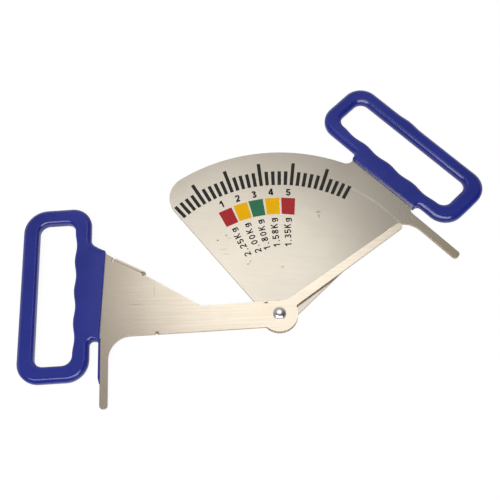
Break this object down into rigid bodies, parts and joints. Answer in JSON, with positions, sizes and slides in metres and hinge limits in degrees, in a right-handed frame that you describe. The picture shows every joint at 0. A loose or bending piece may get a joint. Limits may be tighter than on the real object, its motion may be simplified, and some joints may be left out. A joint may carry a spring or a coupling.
{
  "type": "livestock backfat caliper",
  "caption": "Flat pivoting caliper with a graduated dial fan, a pointer, jaw legs and dip-coated loop grips, for judging the body condition of an animal's back.",
  "frame": {"origin": "pivot axis at the level of the surface that the caliper lies on, dial up", "axes": "+Z out of the dial along the pivot, +X to the right and +Y up the dial as pictured"},
  "size_m": [0.3302, 0.2404, 0.0102],
  "materials": {
    "stainless_sheet": "satin, tumbled",
    "polished_stainless": "polished",
    "spring_steel": "satin",
    "blue_dip_coat": "semi-gloss, slightly soft",
    "white_nylon": "matt"
  },
  "bodies": {
    "sector_half": {"sector_plate": "stainless_sheet", "sector_grip": "blue_dip_coat", "pivot_post": "polished_stainless", "thrust_washer": "white_nylon", "spring_washer": "spring_steel", "rear_washer": "stainless_sheet"},
    "pointer_half": {"pointer_plate": "stainless_sheet", "pointer_grip": "blue_dip_coat"}
  },
  "joints": [
    {"name": "pivot", "type": "hinge", "parent": "sector_half", "child": "pointer_half", "pos_m": [0, 0, 0.005], "axis": [0, 0, 1], "range_deg": [-26.6, 182.4]}
  ]
}
